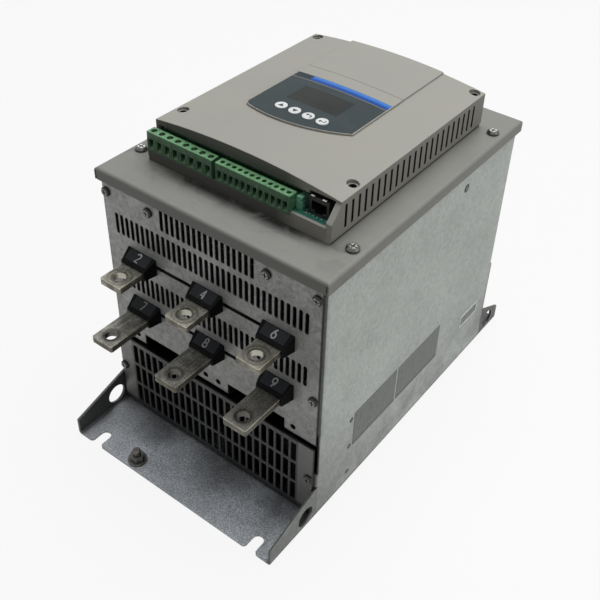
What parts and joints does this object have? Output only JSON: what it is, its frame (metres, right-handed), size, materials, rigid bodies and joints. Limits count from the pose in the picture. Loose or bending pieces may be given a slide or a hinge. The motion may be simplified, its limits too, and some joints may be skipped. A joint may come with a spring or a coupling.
{
  "type": "soft starter",
  "caption": "Boxy motor soft starter lying on its base: slotted folded steel case, bare terminal bars in black bushings, and a moulded control unit with keypad and plug-in terminals on the lid.",
  "frame": {"origin": "middle of the mounting face on the underside of the base, halfway between both flange ends", "axes": "+X to the right seen from the load end, +Y from the load end to the line end, +Z away from the mounting face towards the keypad"},
  "size_m": [0.2038, 0.34, 0.2652],
  "materials": {
    "galvanised": "mottled zinc coat, fine scratches",
    "lid_paint": "satin warm grey paint",
    "housing_plastic": "fine matt light grey moulding",
    "black_moulding": "satin black moulding",
    "tinned_copper": "dull tin plate, warmer at the cut edges",
    "extruded_aluminium": "plain extrusion",
    "module_case": "matt moulding",
    "transformer_case": "matt moulding",
    "fan_plastic": "matt black moulding",
    "board": "solder resist",
    "terminal_green": "matt green moulding",
    "zinc": "bright zinc plate",
    "dark_screw": "dull plated steel",
    "socket_shell": "black moulding with a bright shield",
    "slate_film": "fine matt film",
    "display_glass": "clear window over a dark display",
    "display_case": "matt",
    "key_white": "matt white keys"
  },
  "bodies": {
    "unit": {"chassis": "galvanised", "load_panel": "galvanised", "line_panel": "galvanised", "fan_grille": "galvanised", "exhaust_grille": "galvanised", "board_tray": "galvanised", "lid": "lid_paint", "control_base": "housing_plastic", "control_cover": "housing_plastic", "keypad_bezel": "housing_plastic", "load_insulator_1": "black_moulding", "load_insulator_2": "black_moulding", "load_insulator_3": "black_moulding", "bypass_insulator_1": "black_moulding", "bypass_insulator_2": "black_moulding", "bypass_insulator_3": "black_moulding", "line_insulator_1": "black_moulding", "line_insulator_2": "black_moulding", "line_insulator_3": "black_moulding", "load_bar_1": "tinned_copper", "load_bar_2": "tinned_copper", "load_bar_3": "tinned_copper", "bypass_bar_1": "tinned_copper", "bypass_bar_2": "tinned_copper", "bypass_bar_3": "tinned_copper", "line_bar_1": "tinned_copper", "line_bar_2": "tinned_copper", "line_bar_3": "tinned_copper", "heatsink": "extruded_aluminium", "thyristor_module_1": "module_case", "thyristor_module_2": "module_case", "thyristor_module_3": "module_case", "current_transformer_1": "transformer_case", "current_transformer_2": "transformer_case", "current_transformer_3": "transformer_case", "fan_frame_left": "fan_plastic", "fan_frame_right": "fan_plastic", "firing_board": "board", "control_board": "board", "keypad_board": "board", "relay_plug": "terminal_green", "control_plug": "terminal_green", "plug_headers": "terminal_green", "terminal_screws": "zinc", "lid_screws": "zinc", "earth_stud": "zinc", "earth_washer": "zinc", "earth_nut": "zinc", "panel_screws": "dark_screw", "cover_screws": "dark_screw", "network_socket": "socket_shell", "keypad_panel": "slate_film", "display_window": "display_glass", "display_module": "display_case"},
    "left_fan": {"fan_rotor_left": "fan_plastic"},
    "right_fan": {"fan_rotor_right": "fan_plastic"},
    "up_key": {"key_up": "key_white"},
    "down_key": {"key_down": "key_white"},
    "back_key": {"key_back": "key_white"},
    "enter_key": {"key_enter": "key_white"}
  },
  "joints": [
    {"name": "left_fan_spin", "type": "hinge", "parent": "unit", "child": "left_fan", "pos_m": [-0.045, -0.105, 0.0398], "axis": [0, 1, 0], "continuous": true},
    {"name": "right_fan_spin", "type": "hinge", "parent": "unit", "child": "right_fan", "pos_m": [0.045, -0.105, 0.0398], "axis": [0, 1, 0], "continuous": true},
    {"name": "up_key_press", "type": "slide", "parent": "unit", "child": "up_key", "axis": [0, 0, -1], "range_m": [0, 0.0005], "stiffness_N_per_m": 2000},
    {"name": "down_key_press", "type": "slide", "parent": "unit", "child": "down_key", "axis": [0, 0, -1], "range_m": [0, 0.0005], "stiffness_N_per_m": 2000},
    {"name": "back_key_press", "type": "slide", "parent": "unit", "child": "back_key", "axis": [0, 0, -1], "range_m": [0, 0.0005], "stiffness_N_per_m": 2000},
    {"name": "enter_key_press", "type": "slide", "parent": "unit", "child": "enter_key", "axis": [0, 0, -1], "range_m": [0, 0.0005], "stiffness_N_per_m": 2000}
  ]
}
